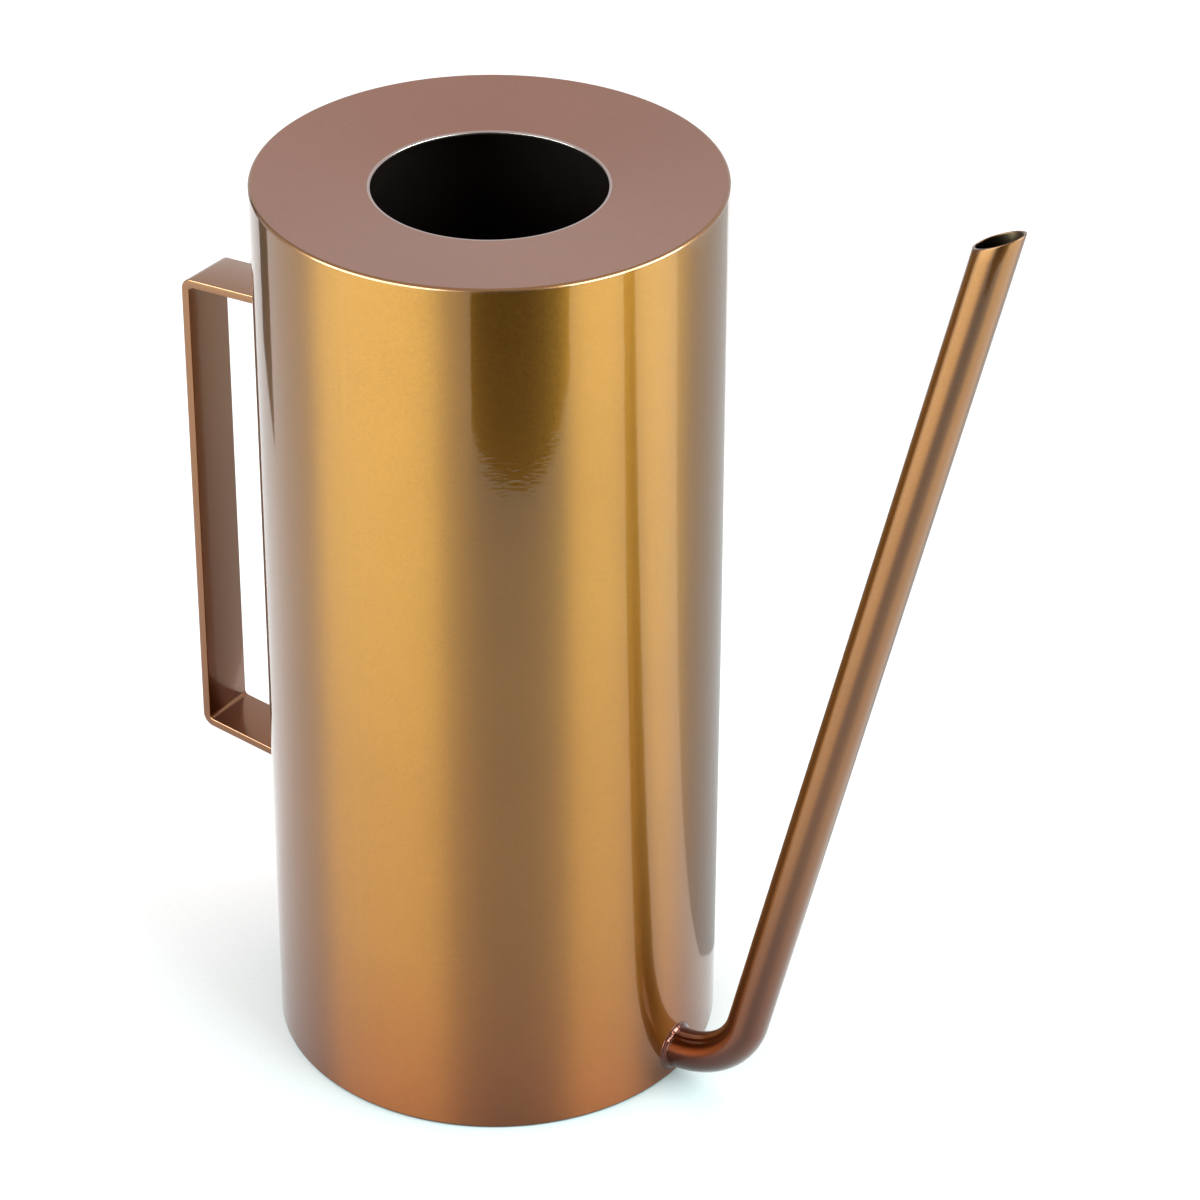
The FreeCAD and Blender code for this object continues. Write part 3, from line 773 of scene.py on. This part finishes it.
# %% The camera
# Metres for the place, radians for the roll and millimetres for the lens.
CAMERA_PLACE = Vector((0.53841, -0.72429, 0.68046))
CAMERA_HEADING = math.radians(35.0)
CAMERA_DOWN = math.radians(31.93)
CAMERA_ROLL = 0.0048
LENS = 132.24
SENSOR = 36.0
ahead = Vector((-math.sin(CAMERA_HEADING) * math.cos(CAMERA_DOWN),
                math.cos(CAMERA_HEADING) * math.cos(CAMERA_DOWN), -math.sin(CAMERA_DOWN)))
ahead.normalize()
level_right = Vector((ahead.y, -ahead.x, 0)).normalized()
level_up = level_right.cross(ahead)
right = level_right * math.cos(CAMERA_ROLL) + level_up * math.sin(CAMERA_ROLL)
up = level_up * math.cos(CAMERA_ROLL) - level_right * math.sin(CAMERA_ROLL)
lens = bpy.data.cameras.new("camera")
lens.lens = LENS
lens.sensor_width = SENSOR
camera = bpy.data.objects.new("camera", lens)
turn = Matrix((right, up, -ahead)).transposed()
camera.matrix_world = Matrix.Translation(CAMERA_PLACE) @ turn.to_4x4()
bpy.context.scene.collection.objects.link(camera)
bpy.context.scene.camera = camera
camera_bearing = math.atan2(CAMERA_PLACE.y, CAMERA_PLACE.x)
print("camera ahead", ahead[:], "bearing %.1f" % math.degrees(camera_bearing))

# %% [markdown]
# ## Lamps and what the metal mirrors
# A polished can shows its room more than itself. Two wide soft lamps stand left and right of the
# camera and make the two golden bands. Their light is slightly cool, which turns the lacquer from
# orange to gold. A third lamp, above and behind the can and never seen in the metal, whitens the
# floor. Its light is slightly warm, so that the white stays neutral.
# Darkening the lacquer itself would darken the bands too, so three cards that only the metal sees
# make the dark places: a black cloth rises in front of the can, and its image is the dark arch
# below the rim. A black strip at the back left gives the dark line down the wall's left edge. A
# grey sheet on the floor at the back right darkens the handle's inner face and the wall's right
# edge.

# %% Lamps
def bearing_point(degrees, distance, height):
    """A point round the can: degrees to the right of the camera as the camera sees it."""
    a = camera_bearing + math.radians(degrees)
    return Vector((distance * math.cos(a), distance * math.sin(a), height))


def soft_lamp(name, place, aim, width, height, watts, colour):
    """A rectangular soft lamp at a place, turned to face a point, upright."""
    lamp_data = bpy.data.lights.new(name, "AREA")
    lamp_data.shape = "RECTANGLE"
    lamp_data.size = width
    lamp_data.size_y = height
    lamp_data.energy = watts
    lamp_data.color = linear(colour)[:3]
    lamp = bpy.data.objects.new(name, lamp_data)
    lamp.rotation_euler = (aim - place).to_track_quat("-Z", "Y").to_euler()
    lamp.location = place
    lamp.visible_camera = False
    bpy.context.scene.collection.objects.link(lamp)
    return lamp


COOL, WARM = "#DEFFFF", "#FFECEC"
LAMP_DISTANCE, LAMP_HEIGHT = 0.9, 0.7
middle = Vector((0, 0, 0.12))
soft_lamp("left lamp", bearing_point(-54, LAMP_DISTANCE, 0.40), middle,
          width=1.12, height=LAMP_HEIGHT, watts=34.5, colour=COOL)
soft_lamp("right lamp", bearing_point(64, LAMP_DISTANCE, 0.52), middle,
          width=1.16, height=LAMP_HEIGHT, watts=42, colour=COOL)
floor_lamp = soft_lamp("floor lamp", bearing_point(180, 0.45, 0.9), bearing_point(180, 0.44, 0.0),
                       width=1.8, height=0.9, watts=24, colour=WARM)
floor_lamp.visible_glossy = False

# %% The room
world = bpy.data.worlds.new("white room")
world.use_nodes = True
bpy.context.scene.world = world
room = world.node_tree
room.nodes.clear()
sky = add_node(room, "ShaderNodeBackground", Color=(1, 1, 1, 1), Strength=1.0)
add_node(room, "ShaderNodeOutputWorld", [(sky.outputs[0], "Surface")])

# %% Cards that only the metal sees
def matt(name, grey):
    """A plain matt material of one grey."""
    material, tree = empty_material(name)
    shader = add_node(tree, "ShaderNodeBsdfDiffuse", Color=(grey, grey, grey, 1))
    add_node(tree, "ShaderNodeOutputMaterial", [(shader.outputs[0], "Surface")])
    return material


cloth = matt("black cloth", 0.01)
grey_paper = matt("grey paper", 0.17)
CLOTH_LIFT, CARD_LIFT = 2 * MM, 1.5 * MM
CLOTH_REACH, CLOTH_TOP = 1.3, 1.7
STRIP_REACH, STRIP_TOP = 1.1, 1.8
# Seen from the can, the cloth narrows a little upwards.
TOP_SPREAD = 0.93
# Its near edge as bearing and distance, curved so that its image ends in a flat round.
near_edge = [(-9, 0.40), (-6, 0.383), (0, 0.369), (7, 0.363), (15, 0.362), (23, 0.370),
             (30, 0.390), (35, 0.425)]
dark_cloth = flat_sheet("dark_cloth",
                        [bearing_point(a, d, CLOTH_LIFT) for a, d in near_edge]
                        + [bearing_point(TOP_SPREAD * a, CLOTH_REACH, CLOTH_TOP)
                           for a, d in near_edge], cloth)
side_cloth = flat_sheet("side_cloth", [
    bearing_point(-136, 0.386, CLOTH_LIFT), bearing_point(-124, 0.325, CLOTH_LIFT),
    bearing_point(-139, STRIP_REACH, STRIP_TOP),
    bearing_point(-129, STRIP_REACH, STRIP_TOP)], cloth)
grey_card = flat_sheet("grey_card", [
    bearing_point(92, 0.075, CARD_LIFT), bearing_point(95, 0.50, CARD_LIFT),
    bearing_point(172, 0.062, CARD_LIFT), bearing_point(152, 0.60, CARD_LIFT)], grey_paper)
for sheet in (dark_cloth, side_cloth, grey_card):
    sheet.visible_camera = False
    sheet.visible_diffuse = False
    sheet.visible_shadow = False

# %% [markdown]
# ## Colour out
# The standard view shows each hex colour as it was written. The last cell updates the view layer.

# %% The standard view
bpy.context.scene.view_settings.view_transform = "Standard"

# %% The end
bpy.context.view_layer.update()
